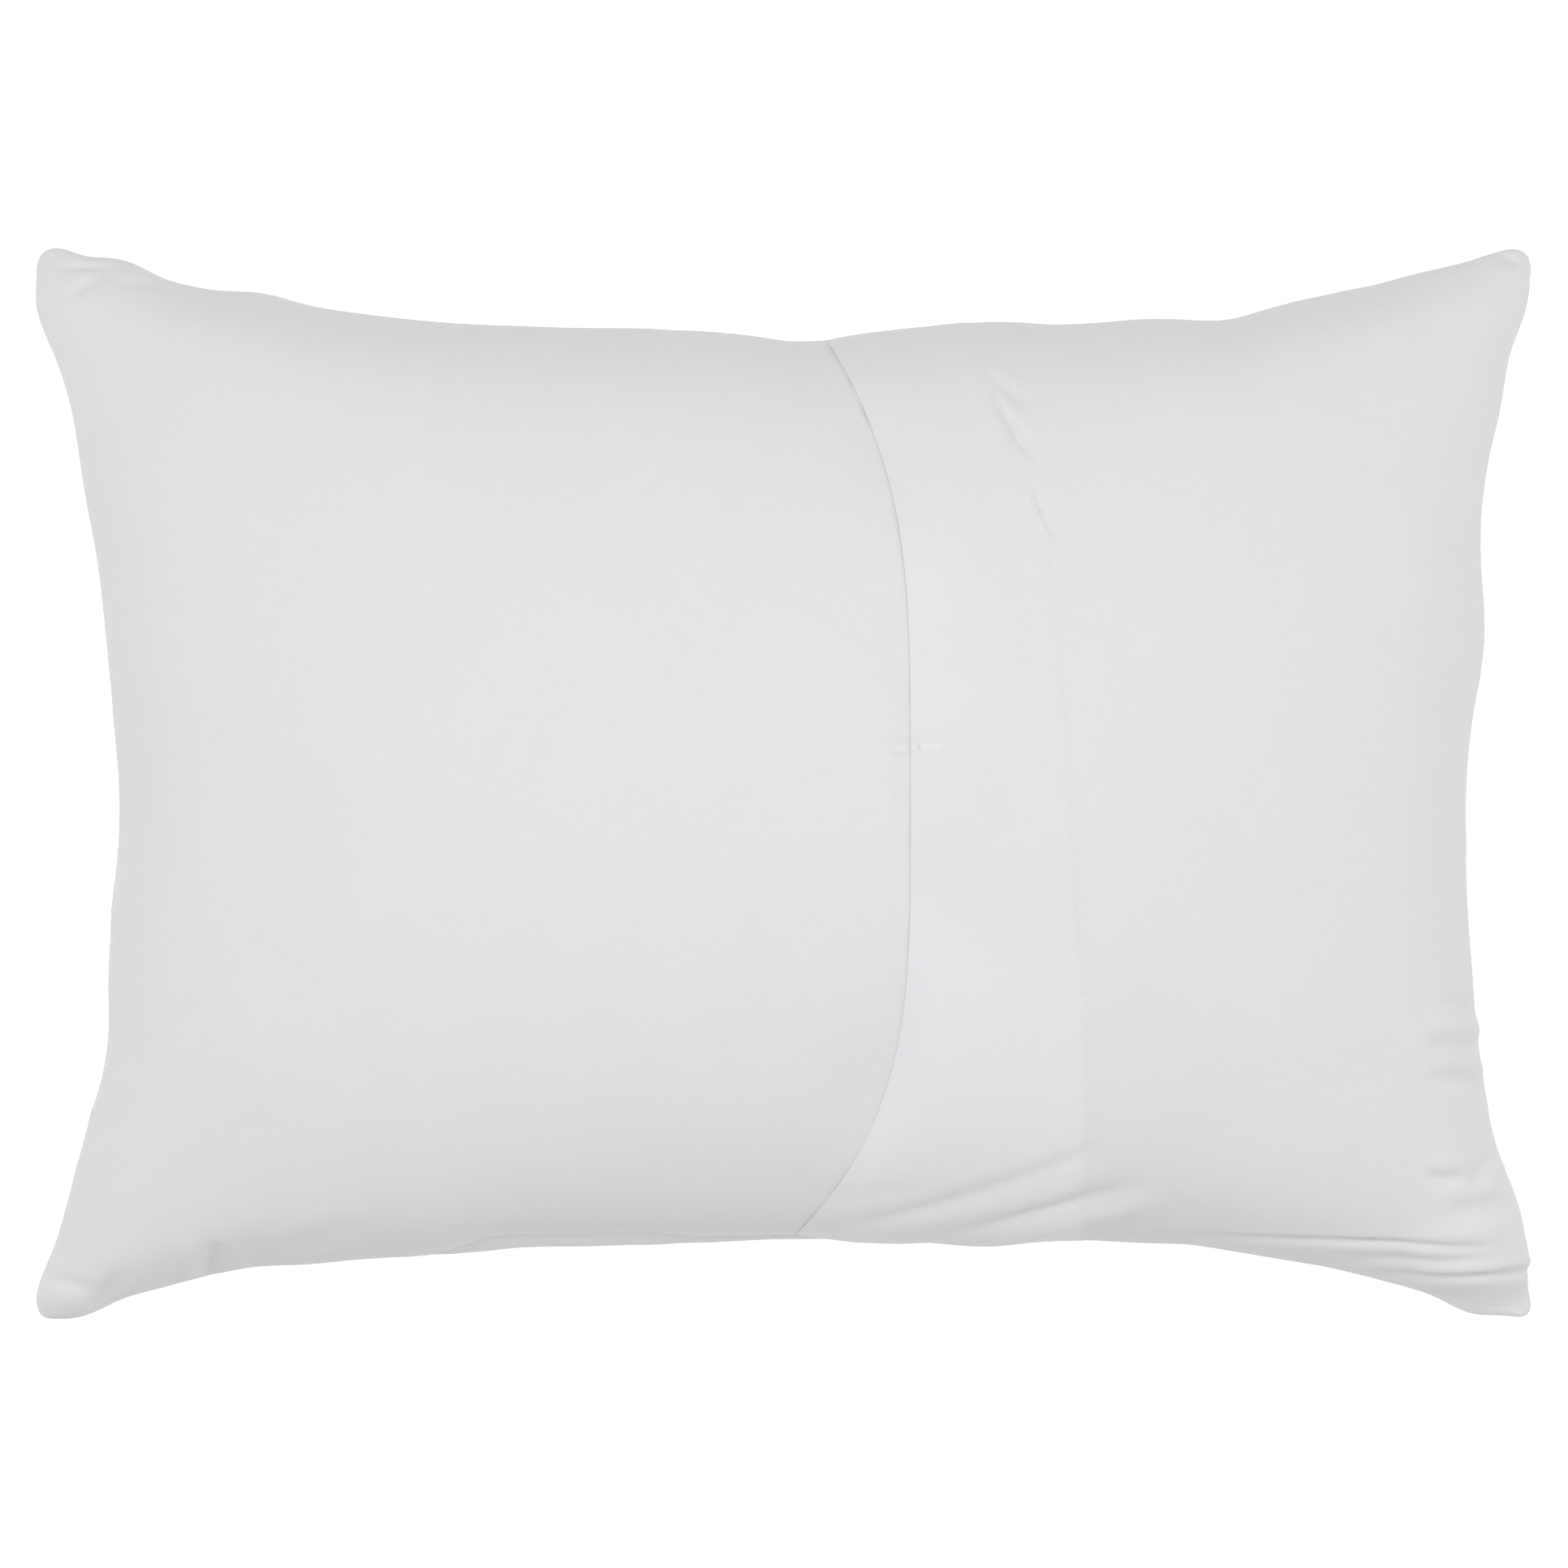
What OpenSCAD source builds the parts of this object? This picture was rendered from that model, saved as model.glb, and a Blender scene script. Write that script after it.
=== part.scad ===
// Bed pillow in an envelope cover, lying on its face with the opening side up.
// X runs along the pillow, Y across it and Z up. The origin is on the floor, under the middle.

/* [Pillow] */
// Length from corner to corner
corner_length = 680; // [640:5:720]
// Length along the middle, where the fill draws the short sides in
middle_length = 612; // [580:2:630]
// Width from corner to corner
corner_width = 488; // [460:2:520]
// Width across the middle, where the fill draws the long sides in
middle_width = 412; // [390:2:430]
// Height of the crown above the seam
crown_rise = 100; // [80:1:120]
// Depth that the face would have below the seam if it hung free
free_drop = 108; // [90:1:120]
// Depth of the face below the seam where the floor presses it flat
rest_drop = 88; // [70:1:88]

/* [Opening] */
// Distance of the flap's free edge from the pillow's middle
edge_offset = 57; // [20:1:100]
// How far the flap's free edge bows back at its two sewn ends
edge_bow = 43; // [0:1:60]
// Width of the flap's turned hem
hem_width = 74; // [40:1:100]
// Length of back panel that lies hidden under the flap
overlap = 150; // [100:1:170]
// Width of the back panel's narrow hem
narrow_hem = 22; // [15:1:30]

/* [Cloth and thread] */
// Thickness of the cover's cotton
cloth = 0.6; // [0.4:0.1:0.8]
// Thickness of the insert's ticking
ticking = 0.5; // [0.4:0.1:0.7]
// Thickness of the sewing thread
thread = 0.35; // [0.3:0.05:0.4]
// Length of one stitch and the space after it
stitch_pitch = 4; // [3.5:0.5:8]
// Width of the seam allowances folded inside
allowance = 10; // [6:1:10]
// Distance between two crossings of the overlock thread
overlock_pitch = 8; // [6:1:12]

/* [Labels] */
// Length of each blank care label
label_length = 45; // [30:1:50]
// Width of each blank care label
label_width = 32; // [20:1:35]

/* [Hidden] */

// Exponents of the sides' inward curves and of the dome's two profiles
side_power = 2.2;
long_side_power = 2.8;
length_profile = 2.7;
width_profile = 2.1;
bow_power = 3.5;

// Half of the rounded band between the resting patch and the dome
press_blend = 7;
// Half of the space between the upper and the lower cloth at a seam
seam_gap = 0.15;
// One layer of cover cloth with the air above it
layer = cloth + 0.3;
// How far the insert stays inside the cover, in plan and in height
insert_inset = [allowance + 4, 5.5];
// How far the fill stays inside the insert, in plan and in height
fill_inset = insert_inset + [allowance + 3, 2 * ticking + 0.5];
// Space between an edge and the seam strip inside it
strip_gap = 2;
// Distance of each seam strip's ends from the corners, on the cover and on the insert
cover_strip_end = 26;
insert_strip_end = cover_strip_end + allowance + 8;
// Space between the overlock thread's crossings and the seam strip's edges
thread_margin = 1;
// Free space under a stitch
stitch_gap = 0.05;
// Share of the pitch that shows as thread
stitch_share = 0.75;
// Thickness of a care label
label_cloth = 0.3;
// Angles of the care labels' sewn ends, measured from the crown to the seam
label_root = 88.5;
// Length of the insert's closed filling gap
closing_length = 220;
// Angle of the closing stitches, measured from the crown to the seam
closing_angle = 86;

// Cells along and across the cover's panels, and along and across the insert
cover_cells = [28, 20];
insert_cells = [20, 16];
flap_cells = 12;
hem_cells = 4;
narrow_cells = 2;
strip_cells = 30;
label_cells = [4, 3];
arc_steps = 90;

// Half sizes of the outline, with u and v from -1 to 1 along and across the pillow
function half_length(v) =
    middle_length / 2 + (corner_length - middle_length) / 2 * pow(abs(v), side_power);
function half_width(u) =
    middle_width / 2 + (corner_width - middle_width) / 2 * pow(abs(u), long_side_power);

// Height of the dome from 0 at the seams to 1 at the crown
function swell(u, v) =
    sqrt(max(0, 1 - pow(abs(u), length_profile)) * max(0, 1 - pow(abs(v), width_profile)));

// Depth of the face once the floor has pressed its lowest part flat at the given depth
function pressed(depth, rest) =
    depth < rest - press_blend ? depth :
    depth > rest + press_blend ? rest :
    depth - pow(depth - rest + press_blend, 2) / (4 * press_blend);

// A point on the pillow's skin, at an inset [plan, height] below the cover's outer face
function plan_x(u, v, inset) = u * (half_length(v) - inset[0]);
function plan_y(u, v, inset) = v * (half_width(u) - inset[0]);
function upper_skin(u, v, inset) = [
    plan_x(u, v, inset),
    plan_y(u, v, inset),
    rest_drop + seam_gap + (crown_rise - inset[1]) * swell(u, v)
];
function lower_skin(u, v, inset) = [
    plan_x(u, v, inset),
    plan_y(u, v, inset),
    rest_drop - seam_gap
        - pressed((free_drop - inset[1]) * swell(u, v), rest_drop - seam_gap - inset[1])
];

// Lines across the opening side: the flap's edge, its hem's stitches and the hidden panel's edge
function edge_x(v) = edge_offset - edge_bow * pow(abs(v), bow_power);
function stitch_x(v) = edge_x(v) + hem_width;
function hidden_x(v) = edge_x(v) + overlap;
function narrow_x(v) = hidden_x(v) - narrow_hem;

// Angle along the pillow of a line at distance x from the middle
function line_angle(x, v, inset) = asin(x / (half_length(v) - inset[0]));
function across(j, n) = sin(-90 + 180 * j / n);
function between(a, b, t) = a + (b - a) * t;

// Depth of the back panel below the cover's outer face: none at its seam, two layers at the flap
function tuck(u) = 2 * layer * pow(min(1, 1 + min(0, u)), 2);
function tucked(u, extra) = [tuck(u) + extra, tuck(u) + extra];

// A closed sheet between an upper and a lower grid of (m + 1) by (n + 1) points
function grid_index(i, j, n) = i * (n + 1) + j;
function rim(m, n) = concat(
    [for (i = [0 : m - 1]) grid_index(i, 0, n)],
    [for (j = [0 : n - 1]) grid_index(m, j, n)],
    [for (i = [m : -1 : 1]) grid_index(i, n, n)],
    [for (j = [n : -1 : 1]) grid_index(0, j, n)]
);
module sheet(m, n, upper, lower) {
    count = (m + 1) * (n + 1);
    edge = rim(m, n);
    points = concat(
        [for (i = [0 : m]) for (j = [0 : n]) upper(i, j)],
        [for (i = [0 : m]) for (j = [0 : n]) lower(i, j)]
    );
    top = [
        for (i = [0 : m - 1]) for (j = [0 : n - 1])
            let (a = grid_index(i, j, n), b = grid_index(i + 1, j, n))
            each [[a, a + 1, b + 1], [a, b + 1, b]]
    ];
    bottom = [for (f = top) [f[2] + count, f[1] + count, f[0] + count]];
    walls = [
        for (k = [0 : len(edge) - 1])
            let (p = edge[k], q = edge[(k + 1) % len(edge)])
            each [[p, q, q + count], [p, q + count, p + count]]
    ];
    polyhedron(points = points, faces = concat(walls, bottom, top), convexity = 6);
}

// A part of the upper skin between two lines across the pillow, with its thickness
module upper_sheet(cells, from_angle, to_angle, inset, thickness) {
    n = cover_cells[1];
    point = function (i, j, extra)
        let (
            v = across(j, n),
            u = sin(between(from_angle(v), to_angle(v), i / cells))
        )
        upper_skin(u, v, inset(u, extra));
    sheet(cells, n, function (i, j) point(i, j, 0), function (i, j) point(i, j, thickness));
}

// Every stitch of a row as its own bar, from a function that gives the skin at (s, side, lift)
module stitch_row(length, place) {
    count = floor(length / stitch_pitch) - 1;
    bar = stitch_pitch * stitch_share;
    start = (length - (count - 1) * stitch_pitch - bar) / 2;
    points = [
        for (k = [0 : count - 1]) for (end = [0, 1]) for (lift = [stitch_gap, stitch_gap + thread])
            for (side = [-1, 1])
                place(start + k * stitch_pitch + end * bar, side * thread / 2, lift)
    ];
    box = [
        [0, 3, 1], [0, 2, 3], [4, 7, 6], [4, 5, 7], [0, 5, 4], [0, 1, 5],
        [2, 7, 3], [2, 6, 7], [0, 6, 2], [0, 4, 6], [1, 7, 5], [1, 3, 7]
    ];
    faces = [for (k = [0 : count - 1]) for (f = box) [for (p = f) p + 8 * k]];
    polyhedron(points = points, faces = faces, convexity = 4);
}

// Length along a line across the pillow, as pairs of length and angle
function line_point(x, angle, inset) =
    let (v = sin(angle))
    upper_skin(sin(line_angle(x(v), v, inset)), v, inset);
function line_table(x, inset) = [
    for (
        k = 0, s = 0;
        k <= arc_steps;
        k = k + 1,
        s = s + norm(
            line_point(x, -90 + 180 * min(k, arc_steps) / arc_steps, inset)
            - line_point(x, -90 + 180 * (k - 1) / arc_steps, inset)
        )
    )
    [s, -90 + 180 * k / arc_steps]
];

// A row of stitches along a line across the pillow
module line_stitches(x, inset) {
    table = line_table(x, inset);
    place = function (s, side, lift)
        let (
            v = sin(lookup(s, table)),
            u = sin(line_angle(x(v) + side, v, inset))
        )
        upper_skin(u, v, inset - [lift, lift]);
    stitch_row(table[arc_steps][0], place);
}

// Seam strips: the raw edges of both panels, folded inside along one side of the outline
function long_edge(t, side, inset, end) =
    let (u = between(-1, 1, t) * (1 - 2 * end / corner_length))
    [u * half_length(1), side * (half_width(u) - inset)];
function short_edge(t, side, inset, end) =
    let (v = between(-1, 1, t) * (1 - 2 * end / corner_width))
    [side * (half_length(v) - inset), v * half_width(1)];
module seam_strip(edge, first, second, thickness) {
    point = function (i, j, height)
        let (p = edge(i / strip_cells, j == 0 ? first : second))
        [p[0], p[1], rest_drop + height];
    sheet(
        strip_cells, 1,
        function (i, j) point(i, j, thickness / 2),
        function (i, j) point(i, j, -thickness / 2)
    );
}
module seam_thread(edge, length, across_seam) {
    cells = floor((length - 2 * cover_strip_end) / overlock_pitch);
    base = rest_drop + cloth + stitch_gap;
    slant = norm([overlock_pitch, allowance - 2 * thread_margin]) / overlock_pitch;
    point = function (i, j, height)
        let (
            inset = strip_gap + (i % 2 == 0 ? thread_margin : allowance - thread_margin),
            p = edge(i / cells, inset)
        )
        [p[0], p[1], base + height] + (j - 0.5) * thread * slant * across_seam;
    sheet(cells, 1, function (i, j) point(i, j, thread), function (i, j) point(i, j, 0));
}

// A blank label on the skin beside the left short side
module label(v_middle, inset) {
    reach = label_length / (middle_length / 2);
    point = function (i, j, extra)
        let (
            v = v_middle + between(-1, 1, j / label_cells[1]) * label_width / middle_width,
            u = -sin(between(label_root, asin(1 - reach / 2), i / label_cells[0]))
        )
        upper_skin(u, v, inset + [extra, extra]);
    sheet(
        label_cells[0], label_cells[1],
        function (i, j) point(i, j, 0),
        function (i, j) point(i, j, label_cloth)
    );
}

// Face of the pillow, under it as it lies
module cover_front_panel() {
    m = cover_cells[0];
    n = cover_cells[1];
    color([0.91, 0.90, 0.89])
        sheet(
            m, n,
            function (i, j) lower_skin(across(i, m), across(j, n), [cloth, cloth]),
            function (i, j) lower_skin(across(i, m), across(j, n), [0, 0])
        );
}

// Wide back panel, sewn at the left and passing under the flap
module cover_back_panel() {
    color([0.90, 0.89, 0.89])
        upper_sheet(
            cover_cells[0] - 4,
            function (v) -90,
            function (v) line_angle(hidden_x(v), v, [2 * layer, 0]),
            function (u, extra) tucked(u, extra),
            cloth
        );
}

// Flap, sewn at the right, with its free edge across the middle
module cover_flap() {
    color([0.91, 0.90, 0.90])
        upper_sheet(
            flap_cells,
            function (v) line_angle(edge_x(v), v, [0, 0]),
            function (v) 90,
            function (u, extra) [extra, extra],
            cloth
        );
}

// Cloth turned back under the flap, from its free edge to the row of stitches
module flap_hem() {
    color([0.92, 0.92, 0.93])
        upper_sheet(
            hem_cells,
            function (v) line_angle(edge_x(v), v, [layer, 0]),
            function (v) line_angle(stitch_x(v) + 2, v, [layer, 0]),
            function (u, extra) [layer + extra, layer + extra],
            cloth
        );
}

// Cloth turned under along the back panel's hidden edge
module back_panel_hem() {
    color([0.90, 0.90, 0.90])
        upper_sheet(
            narrow_cells,
            function (v) line_angle(narrow_x(v), v, [3 * layer, 0]),
            function (v) line_angle(hidden_x(v), v, [3 * layer, 0]),
            function (u, extra) [3 * layer + extra, 3 * layer + extra],
            cloth
        );
}

module flap_hem_stitching() {
    color([0.95, 0.95, 0.95])
        line_stitches(function (v) stitch_x(v), [0, 0]);
}

module back_panel_hem_stitching() {
    color([0.95, 0.95, 0.95])
        line_stitches(function (v) narrow_x(v) + 2, [2 * layer, 2 * layer]);
}

module cover_seam_top() {
    color([0.88, 0.88, 0.88])
        seam_strip(
            function (t, inset) long_edge(t, 1, inset, cover_strip_end),
            strip_gap + allowance, strip_gap, 2 * cloth
        );
}

module cover_seam_bottom() {
    color([0.88, 0.88, 0.88])
        seam_strip(
            function (t, inset) long_edge(t, -1, inset, cover_strip_end),
            strip_gap, strip_gap + allowance, 2 * cloth
        );
}

module cover_seam_left() {
    color([0.88, 0.88, 0.88])
        seam_strip(
            function (t, inset) short_edge(t, -1, inset, cover_strip_end),
            strip_gap + allowance, strip_gap, 2 * cloth
        );
}

module cover_seam_right() {
    color([0.88, 0.88, 0.88])
        seam_strip(
            function (t, inset) short_edge(t, 1, inset, cover_strip_end),
            strip_gap, strip_gap + allowance, 2 * cloth
        );
}

module seam_thread_top() {
    color([0.96, 0.96, 0.96])
        seam_thread(function (t, inset) long_edge(t, 1, inset, cover_strip_end), corner_length, [0, 1, 0]);
}

module seam_thread_bottom() {
    color([0.96, 0.96, 0.96])
        seam_thread(function (t, inset) long_edge(t, -1, inset, cover_strip_end), corner_length, [0, 1, 0]);
}

module seam_thread_left() {
    color([0.96, 0.96, 0.96])
        seam_thread(function (t, inset) short_edge(t, -1, inset, cover_strip_end), corner_width, [-1, 0, 0]);
}

module seam_thread_right() {
    color([0.96, 0.96, 0.96])
        seam_thread(function (t, inset) short_edge(t, 1, inset, cover_strip_end), corner_width, [-1, 0, 0]);
}

module cover_care_label() {
    color([0.97, 0.97, 0.96])
        label(-0.45, [allowance, 3]);
}

module insert_top_ticking() {
    m = insert_cells[0];
    n = insert_cells[1];
    inner = insert_inset + [ticking, ticking];
    color([0.94, 0.94, 0.93])
        sheet(
            m, n,
            function (i, j) upper_skin(across(i, m), across(j, n), insert_inset),
            function (i, j) upper_skin(across(i, m), across(j, n), inner)
        );
}

module insert_bottom_ticking() {
    m = insert_cells[0];
    n = insert_cells[1];
    inner = insert_inset + [ticking, ticking];
    color([0.94, 0.94, 0.93])
        sheet(
            m, n,
            function (i, j) lower_skin(across(i, m), across(j, n), inner),
            function (i, j) lower_skin(across(i, m), across(j, n), insert_inset)
        );
}

// The insert's four folded-in seam allowances
module insert_edge_seam() {
    near = insert_inset[0] + strip_gap;
    far = near + allowance;
    color([0.93, 0.93, 0.92]) {
        seam_strip(function (t, inset) long_edge(t, 1, inset, insert_strip_end), far, near, 2 * ticking);
        seam_strip(function (t, inset) long_edge(t, -1, inset, insert_strip_end), near, far, 2 * ticking);
        seam_strip(function (t, inset) short_edge(t, -1, inset, insert_strip_end), far, near, 2 * ticking);
        seam_strip(function (t, inset) short_edge(t, 1, inset, insert_strip_end), near, far, 2 * ticking);
    }
}

// Row of stitches that closes the insert's filling gap, beside its bottom long side
module insert_closing_stitching() {
    place = function (s, side, lift)
        let (
            u = (s - closing_length / 2) / (middle_length / 2),
            v = -sin(closing_angle + side / crown_rise * 180 / PI)
        )
        upper_skin(u, v, insert_inset - [lift, lift]);
    color([0.96, 0.96, 0.96])
        stitch_row(closing_length, place);
}

module insert_care_label() {
    color([0.97, 0.97, 0.96])
        label(0.45, insert_inset - [1, 1]);
}

// Polyester fibre that fills the insert
module fibre_fill() {
    m = insert_cells[0];
    n = insert_cells[1];
    color([0.98, 0.98, 0.98])
        sheet(
            m, n,
            function (i, j) upper_skin(across(i, m), across(j, n), fill_inset),
            function (i, j) lower_skin(across(i, m), across(j, n), fill_inset)
        );
}

cover_front_panel();
cover_back_panel();
cover_flap();
flap_hem();
back_panel_hem();
flap_hem_stitching();
back_panel_hem_stitching();
cover_seam_top();
cover_seam_bottom();
cover_seam_left();
cover_seam_right();
seam_thread_top();
seam_thread_bottom();
seam_thread_left();
seam_thread_right();
cover_care_label();
insert_top_ticking();
insert_bottom_ticking();
insert_edge_seam();
insert_closing_stitching();
insert_care_label();
fibre_fill();
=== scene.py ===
"""A plump bed pillow in a cotton cover with an envelope opening, lying on its face.

The cover is blown up from its flat pattern as cloth, fitted to the frame's outline, and then
every panel, hem, seam and stitch is laid on that one surface.
"""

import math

import bpy
import numpy as np
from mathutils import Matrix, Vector


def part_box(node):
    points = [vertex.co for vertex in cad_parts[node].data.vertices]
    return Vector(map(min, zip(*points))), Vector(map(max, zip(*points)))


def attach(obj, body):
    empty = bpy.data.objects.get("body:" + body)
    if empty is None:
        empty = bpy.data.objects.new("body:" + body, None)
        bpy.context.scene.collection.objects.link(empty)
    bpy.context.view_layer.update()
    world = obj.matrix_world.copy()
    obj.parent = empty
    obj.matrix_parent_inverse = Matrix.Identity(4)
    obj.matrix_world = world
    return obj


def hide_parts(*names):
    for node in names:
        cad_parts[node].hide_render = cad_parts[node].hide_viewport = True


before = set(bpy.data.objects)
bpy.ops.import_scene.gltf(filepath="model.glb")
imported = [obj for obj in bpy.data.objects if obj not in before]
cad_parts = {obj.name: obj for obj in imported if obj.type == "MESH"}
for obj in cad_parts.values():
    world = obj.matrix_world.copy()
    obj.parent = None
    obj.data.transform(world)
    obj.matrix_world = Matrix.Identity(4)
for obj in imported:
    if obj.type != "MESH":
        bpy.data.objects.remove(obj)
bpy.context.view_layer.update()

# ============================================ sizes, in metres
MM = 0.001
UP = np.array((0.0, 0, 1))
CUT = np.array((0.700, 0.500))  # the cover as cut, seam to seam
S_END, T_END = CUT / 2  # flat places run from minus these to these
FACE_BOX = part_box("cover_front_panel")
SEAM_Z = FACE_BOX[1].z
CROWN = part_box("cover_back_panel")[1].z - SEAM_Z
HALF = (FACE_BOX[1].x, FACE_BOX[1].y)
WAIST = (0.9, 0.844)  # middle length and width as shares of the corners'
SIDE_POWER = (2.2, 2.8)  # how late the short and the long sides curve out to the corners
PROFILE = (2.7, 2.1)  # fullness of the dome along and across the pillow
CORNER_ROUND = 16 * MM
FIELD, LENS, SENSOR = 0.713, 85, 36  # width seen at the seam's height; lens and sensor in mm
CAMERA_RISE = FIELD * LENS / SENSOR
GRID_STEP = 5 * MM
SETTLE_FRAMES = 11
RISE = 0.090  # height of each side before the cloth settles
FIT_REACH, FIT_FLATTEN = 0.19, 0.7  # reach of the fit to the outline, and how much it levels the seam
PRESS, PRESS_BLEND = 1.09, 7 * MM  # the face's depth before the floor holds it, over the seam's height
SEEDS = {"bag": 7, "top": 11, "face": 31, "stitches": 5, "allowance": 51, "filling": 77}

CLOTH = 0.30 * MM
HEM_PLY = 0.25 * MM
TICKING = 0.4 * MM
ALLOWANCE = 10 * MM

EDGE_MIDDLE, EDGE_TOP, EDGE_BOTTOM = 57.5, 17, 5  # X of the flap's free edge, in mm
EDGE_POWER = (3.6, 4.1)  # how late the edge swings back, towards the top and the bottom
HEM = 74 * MM
# The hem's stitching in plan, in mm: Y, X. Low down, where the hem is dragged, it runs on straight.
HEM_LINE = (
    (-215, 135), (-174, 137), (-150, 137.5), (-100, 136.5), (-50, 134), (0, 131), (43, 127.5),
    (80, 124), (100, 121), (117, 117), (133, 112), (160, 102.5), (183, 93.5), (207, 83),
)
TURN_UNDER = 10 * MM
OVERLAP = 150 * MM
NARROW_HEM = 22 * MM
ROLL = 0.36 * MM  # radius of the flap's folded edge
UNDER = 0.50 * MM  # how far the back panel lies under the flap's outer face

# Waves of the seam's outline in mm: place along the side, how far outward, and reach.
WAVES = {
    "top": (
        (-330, 3, 12), (-300, 5, 14), (-236, 3, 18), (-150, -0.8, 40), (8, -5.2, 28), (88, 2.5, 28),
        (200, -4, 20), (290, 2, 30), (330, 2, 16),
    ),
    "bottom": (
        (-318, 4, 14), (-250, -1.8, 24), (-210, 1, 24), (-158, 1.5, 12), (-135, 3.9, 60),
        (-120, -2.6, 26), (-34, 1.8, 28), (10, 0.8, 18), (52, 2.4, 28), (140, -2, 30),
        (190, -3.5, 30), (244, -2.3, 30), (311, 4.3, 13),
    ),
    "left": ((-229, 3.2, 16), (215, 7.5, 30), (138, 2.6, 34), (-12, -4.6, 50), (-122, -5.6, 40)),
    "right": ((0, 3, 300), (62, 7, 38), (172, 1.6, 20), (216, 3, 14), (-196, 5.8, 24)),
}
TIP = {(-1, 1): 12, (1, 1): 12, (-1, -1): 11, (1, -1): 9}  # how far each tip is rounded, in mm

# Where the face's cloth wraps up beyond the lower long seam, in mm: distance from the seam along
# the cloth, how far the cloth lies outward there, and how far up.
WRAP = (
    (0, -5.2, 2.5), (5, -0.4, 5.9), (10, 3.2, 6.6), (15, 5, 6.4), (20, 6.2, 6), (30, 6, 4.5),
    (45, 3, 2), (60, 0, 0),
)

# Folds of the side with the opening, in mm: start, end, bow, half-width, ridge height, step.
FOLDS = (
    # from the opening's lower end, out over the hem
    ((4, -205), (148, -162), -5, 3.8, -1.7, 0.8),
    ((28, -205), (152, -176), -4, 3.4, 1.1, 0),
    ((58, -209.5), (158, -183), 0, 2.0, -1.7, -0.3),
    ((122, -196), (170, -180), 0, 6.0, -0.8, 0),
    ((62, -212), (172, -189), -1, 4.6, 3.8, 0),
    ((150, -207), (194, -204), 0, 2.5, -0.9, 0.5),
    ((20, -190), (66, -182), 0, 4.0, -0.7, 0),
    # the long pleats to the lower right tip
    ((176, -204), (331, -209), -1, 2.0, -2.0, 1.6),
    ((236, -216), (330, -214), -2, 3.0, -2.2, 0),
    ((262, -218.5), (350, -215), -2, 2.2, 1.8, 0),
    ((254, -222), (352, -219.5), -2, 2.4, -2.4, 1.0),
    ((286, -230), (362, -228), 0, 12.0, 0, 3.6),
    ((300, -191), (332, -187), 0, 5.0, 0, 1.6),
    ((290, -204), (337, -198), -2, 4.0, 2.0, 0),
    ((280, -213), (350, -210), 0, 8.0, 2.4, 0),
    # short wrinkles down the right side
    ((291, -109), (322, -112), 0, 6.0, 1.8, 0),
    ((297, -99), (319, -103), 0, 2.6, -2.4, 0),
    ((292, -119), (322, -121), 0, 3.8, -3.0, 0),
    ((294, -127), (321, -129), 0, 2.8, 1.6, 0),
    ((292, -134), (322, -136), 0, 3.0, -2.4, 0),
    ((291, -171), (311, -171), -3, 3.2, 1.6, 0),
    ((292, -177.5), (310, -176.5), -3, 2.2, -2.2, 0),
    ((312, -184), (324, -167), 1, 2.0, -2.2, 0),
    ((318, -187), (330, -170), 1, 2.4, 1.6, 0),
    # the tips and the lower left
    ((-331, 235), (-300, 235), 0, 1.3, -1.2, 0),
    ((-330, 239), (-304, 238), 0, 1.8, 0.6, 0),
    ((-325, 220), (-306, 234), 1, 2.6, -1.5, 0),
    ((-305, 227), (-279, 226), 1, 2.4, -1.1, 0),
    ((-327, 226), (-315, 234), 0, 2.0, 0.7, 0),
    ((325, 242.5), (334, 236), 0, 2.2, -1.8, 0),
    ((318, 239), (332, 228), 0, 3.0, 0.7, 0),
    ((-256, -209), (-263, -228), 0, 4.0, -3.0, 0.6),
    ((-270, -206), (-272, -225), 0, 5.0, 1.0, 0),
    ((-246, -218), (-192, -200), 0, 6.0, -1.6, 0.6),
    ((-340, -224), (-312, -231), 1, 2.4, -1.1, 0),
    ((-338, -233), (-314, -237), 0, 5.0, 1.2, 0),
    ((-302, -221), (-317, -243), 1, 3.2, -2.2, 0),
    # the left side
    ((-318, -157), (-298, -132), 1, 2.8, 1.6, 0),
    ((-314, -164), (-294, -142), 1, 3.2, -1.8, 0),
    ((-322, -178), (-300, -160), 1, 3.4, 0.8, 0),
    ((-262, -158), (-226, -154), 0, 1.6, -0.25, 0),
    ((-318, 92), (-303, -20), -2, 2.2, -0.35, 0),
    # faint creases in the middle, and a sharper one across the free edge
    ((-25, 196), (-20, 170), 1, 1.6, 0.45, 0),
    ((-104, 4), (-102, -34), 0, 1.4, -0.2, 0),
    ((59, 59.5), (98, 58.5), 0, 1.3, -0.45, 0),
    ((52, 17.5), (74, 17), 0, 1.6, -1.6, 0),
    ((47, 17.5), (60, 17.5), 0, 2.2, -2.0, 0),
    ((50, 72), (52, 38), 0, 5.0, -0.7, 0),
    ((40, 19), (56, 17.5), 0, 1.8, -0.7, 0),
    # puckers beside the hem's stitching
    ((91, 192.5), (112, 177.5), 0, 1.9, 1.2, 0),
    ((93, 187), (112, 171), 0, 2.3, -1.2, 0),
    ((98, 178), (117, 157), 0, 2.0, 1.1, 0),
    ((94, 181), (114, 149), -1, 2.6, -1.4, 0),
    ((106, 160), (119, 142), 0, 2.4, -0.7, 0),
    ((110, 138), (124, 106), -1, 1.6, 0.7, 0),
    ((113, 134), (128, 106), -1, 1.7, -0.8, 0),
    ((117, 124), (133, 111), 0, 1.6, 0.6, 0),
    ((121, 101), (133, 88), 0, 1.6, -0.5, 0),
    # broad hollows
    ((-160, 170), (20, 168), 8, 26, 0.9, 0),
    ((120, 150), (250, 178), 10, 24, 1.0, 0),
    ((-290, 100), (-230, -120), 12, 22, -0.9, 0),
    ((190, -160), (300, -120), 6, 20, -0.8, 0),
)

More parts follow.
